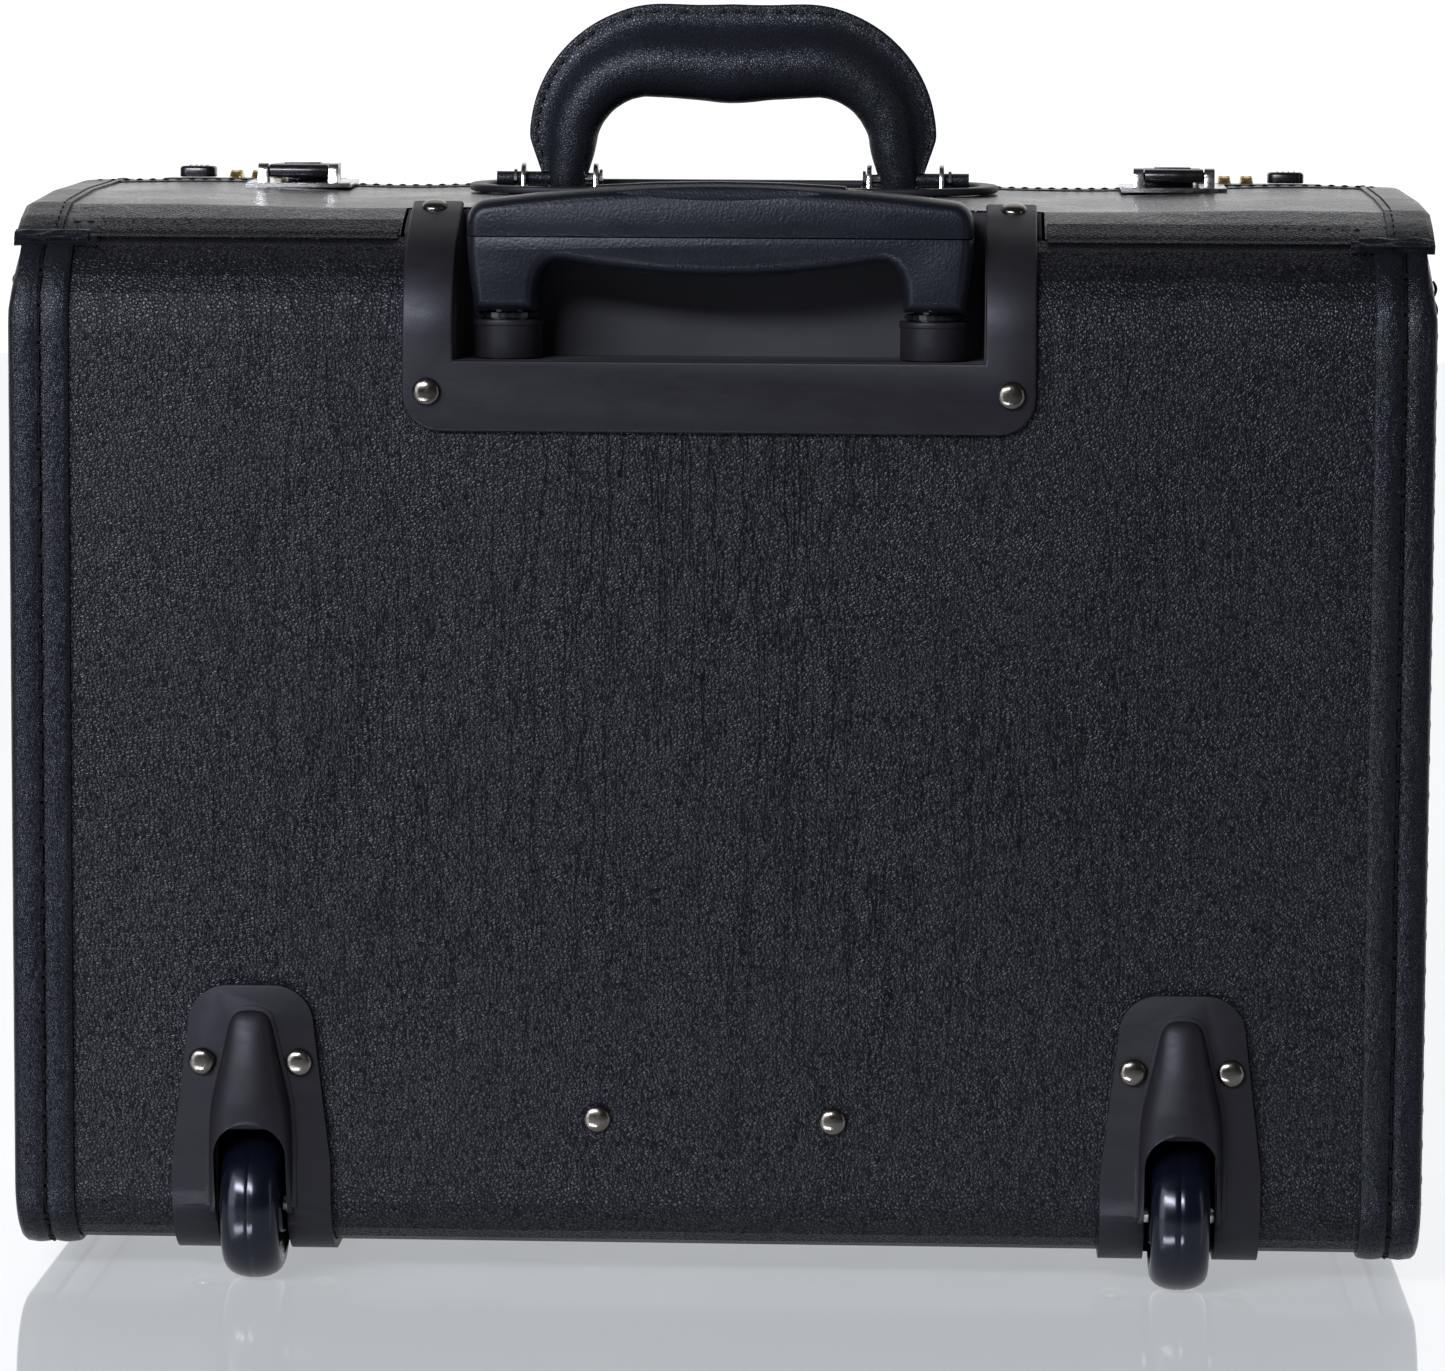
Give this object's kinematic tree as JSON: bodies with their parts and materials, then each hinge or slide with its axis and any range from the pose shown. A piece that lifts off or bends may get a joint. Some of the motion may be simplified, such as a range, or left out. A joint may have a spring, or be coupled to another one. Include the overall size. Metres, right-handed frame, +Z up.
{
  "type": "pilot rolling flight case",
  "caption": "Upright case of leatherette-covered board with sewn edge bindings, a telescopic trolley in a rear recess, rear wheels, top lids with combination locks and a folding handle",
  "frame": {"origin": "middle of the footprint, on the floor", "axes": "+Z up, +X along the case's width to the right as seen from the rear, +Y from the rear wall (trolley and wheels) to the front wall"},
  "size_m": [0.4608, 0.24, 0.4186],
  "materials": {
    "covering": "black grained leatherette over rigid board, fine pebble grain with soft creases",
    "binding": "smooth black leatherette strip, sewn with black thread",
    "board": "dark fibreboard",
    "trim_plastic": "smooth satin black moulding",
    "grip_plastic": "fine-textured black moulding",
    "tube_metal": "black coated tube",
    "rivet_metal": "gunmetal nickel plate",
    "steel": "bright nickel plate",
    "lock_metal": "black nickel plate",
    "brass": "brass number wheels",
    "tyre": "glossy black polyurethane",
    "foot_rubber": "matt black rubber"
  },
  "bodies": {
    "case": {"body_wrap": "covering", "side_panel_left": "covering", "side_panel_right": "covering", "recess_tray": "covering", "edge_binding_left": "binding", "edge_binding_right": "binding", "handle_bridge": "board", "file_divider": "board", "handle_well": "trim_plastic", "trolley_bezel": "trim_plastic", "wheel_housing_left": "trim_plastic", "wheel_housing_right": "trim_plastic", "tube_collar_left": "trim_plastic", "tube_collar_right": "trim_plastic", "outer_tube_left": "tube_metal", "outer_tube_right": "tube_metal", "bezel_rivet_left": "rivet_metal", "bezel_rivet_right": "rivet_metal", "bracket_rivet_left": "rivet_metal", "bracket_rivet_right": "rivet_metal", "housing_rivet_left_inner": "rivet_metal", "housing_rivet_left_outer": "rivet_metal", "housing_rivet_right_inner": "rivet_metal", "housing_rivet_right_outer": "rivet_metal", "tube_foot_bracket": "steel", "axle_left": "steel", "axle_right": "steel", "handle_bracket_left": "steel", "handle_bracket_right": "steel", "handle_pin_left": "steel", "handle_pin_right": "steel", "front_foot_left": "foot_rubber", "front_foot_right": "foot_rubber"},
    "middle_stage": {"middle_tube_left": "tube_metal", "middle_tube_right": "tube_metal"},
    "grip_stage": {"inner_tube_left": "tube_metal", "inner_tube_right": "tube_metal", "grip_upper": "grip_plastic", "grip_lower": "grip_plastic"},
    "release_button_body": {"release_button": "grip_plastic"},
    "rear_lid_body": {"rear_lid": "covering", "lid_ring": "trim_plastic", "hasp_plate_left": "lock_metal", "hasp_plate_right": "lock_metal"},
    "front_lid_body": {"front_lid": "covering", "lock_body_left": "lock_metal", "lock_body_right": "lock_metal"},
    "carry_handle_body": {"carry_handle": "binding"},
    "hasp_left_body": {"hasp_left": "lock_metal"},
    "lock_button_left_body": {"lock_button_left": "lock_metal"},
    "wheel_left_body": {"wheel_left": "tyre"},
    "dial_left_1_body": {"dial_left_1": "brass"},
    "dial_left_2_body": {"dial_left_2": "brass"},
    "dial_left_3_body": {"dial_left_3": "brass"},
    "hasp_right_body": {"hasp_right": "lock_metal"},
    "lock_button_right_body": {"lock_button_right": "lock_metal"},
    "wheel_right_body": {"wheel_right": "tyre"},
    "dial_right_1_body": {"dial_right_1": "brass"},
    "dial_right_2_body": {"dial_right_2": "brass"},
    "dial_right_3_body": {"dial_right_3": "brass"}
  },
  "joints": [
    {"name": "trolley_stage_1", "type": "slide", "parent": "case", "child": "middle_stage", "axis": [0, 0, 1], "range_m": [0, 0.2]},
    {"name": "trolley_stage_2", "type": "slide", "parent": "middle_stage", "child": "grip_stage", "axis": [0, 0, 1], "range_m": [0, 0.2]},
    {"name": "release_button_press", "type": "slide", "parent": "grip_stage", "child": "release_button_body", "axis": [0, 0, -1], "range_m": [0, 0.003], "stiffness_N_per_m": 300, "springref_m": -0.004},
    {"name": "rear_lid_open", "type": "hinge", "parent": "case", "child": "rear_lid_body", "pos_m": [0, -0.0854, 0.3422], "axis": [-1, 0, 0], "range_deg": [-95, 0]},
    {"name": "front_lid_open", "type": "hinge", "parent": "case", "child": "front_lid_body", "pos_m": [0, 0.0981, 0.3422], "axis": [1, 0, 0], "range_deg": [-110, 0]},
    {"name": "carry_handle_fold", "type": "hinge", "parent": "case", "child": "carry_handle_body", "pos_m": [0, 0.002, 0.3595], "axis": [1, 0, 0], "range_deg": [-65, 65]},
    {"name": "hasp_left_lift", "type": "hinge", "parent": "rear_lid_body", "child": "hasp_left_body", "pos_m": [-0.15, 0.0225, 0.3611], "axis": [1, 0, 0], "range_deg": [0, 110]},
    {"name": "lock_button_left_slide", "type": "slide", "parent": "front_lid_body", "child": "lock_button_left_body", "axis": [-1, 0, 0], "range_m": [0, 0.004], "stiffness_N_per_m": 300, "springref_m": -0.003},
    {"name": "dial_left_1_turn", "type": "hinge", "parent": "front_lid_body", "child": "dial_left_1_body", "pos_m": [-0.1615, 0.066, 0.3546], "axis": [1, 0, 0], "continuous": true},
    {"name": "dial_left_2_turn", "type": "hinge", "parent": "front_lid_body", "child": "dial_left_2_body", "pos_m": [-0.1692, 0.066, 0.3546], "axis": [1, 0, 0], "continuous": true},
    {"name": "dial_left_3_turn", "type": "hinge", "parent": "front_lid_body", "child": "dial_left_3_body", "pos_m": [-0.1769, 0.066, 0.3546], "axis": [1, 0, 0], "continuous": true},
    {"name": "wheel_left_spin", "type": "hinge", "parent": "case", "child": "wheel_left_body", "pos_m": [-0.1515, -0.095, 0.025], "axis": [1, 0, 0], "continuous": true},
    {"name": "hasp_right_lift", "type": "hinge", "parent": "rear_lid_body", "child": "hasp_right_body", "pos_m": [0.15, 0.0225, 0.3611], "axis": [1, 0, 0], "range_deg": [0, 110]},
    {"name": "lock_button_right_slide", "type": "slide", "parent": "front_lid_body", "child": "lock_button_right_body", "axis": [1, 0, 0], "range_m": [0, 0.004], "stiffness_N_per_m": 300, "springref_m": -0.003},
    {"name": "dial_right_1_turn", "type": "hinge", "parent": "front_lid_body", "child": "dial_right_1_body", "pos_m": [0.1615, 0.066, 0.3546], "axis": [1, 0, 0], "continuous": true},
    {"name": "dial_right_2_turn", "type": "hinge", "parent": "front_lid_body", "child": "dial_right_2_body", "pos_m": [0.1692, 0.066, 0.3546], "axis": [1, 0, 0], "continuous": true},
    {"name": "dial_right_3_turn", "type": "hinge", "parent": "front_lid_body", "child": "dial_right_3_body", "pos_m": [0.1769, 0.066, 0.3546], "axis": [1, 0, 0], "continuous": true},
    {"name": "wheel_right_spin", "type": "hinge", "parent": "case", "child": "wheel_right_body", "pos_m": [0.1515, -0.095, 0.025], "axis": [1, 0, 0], "continuous": true}
  ]
}
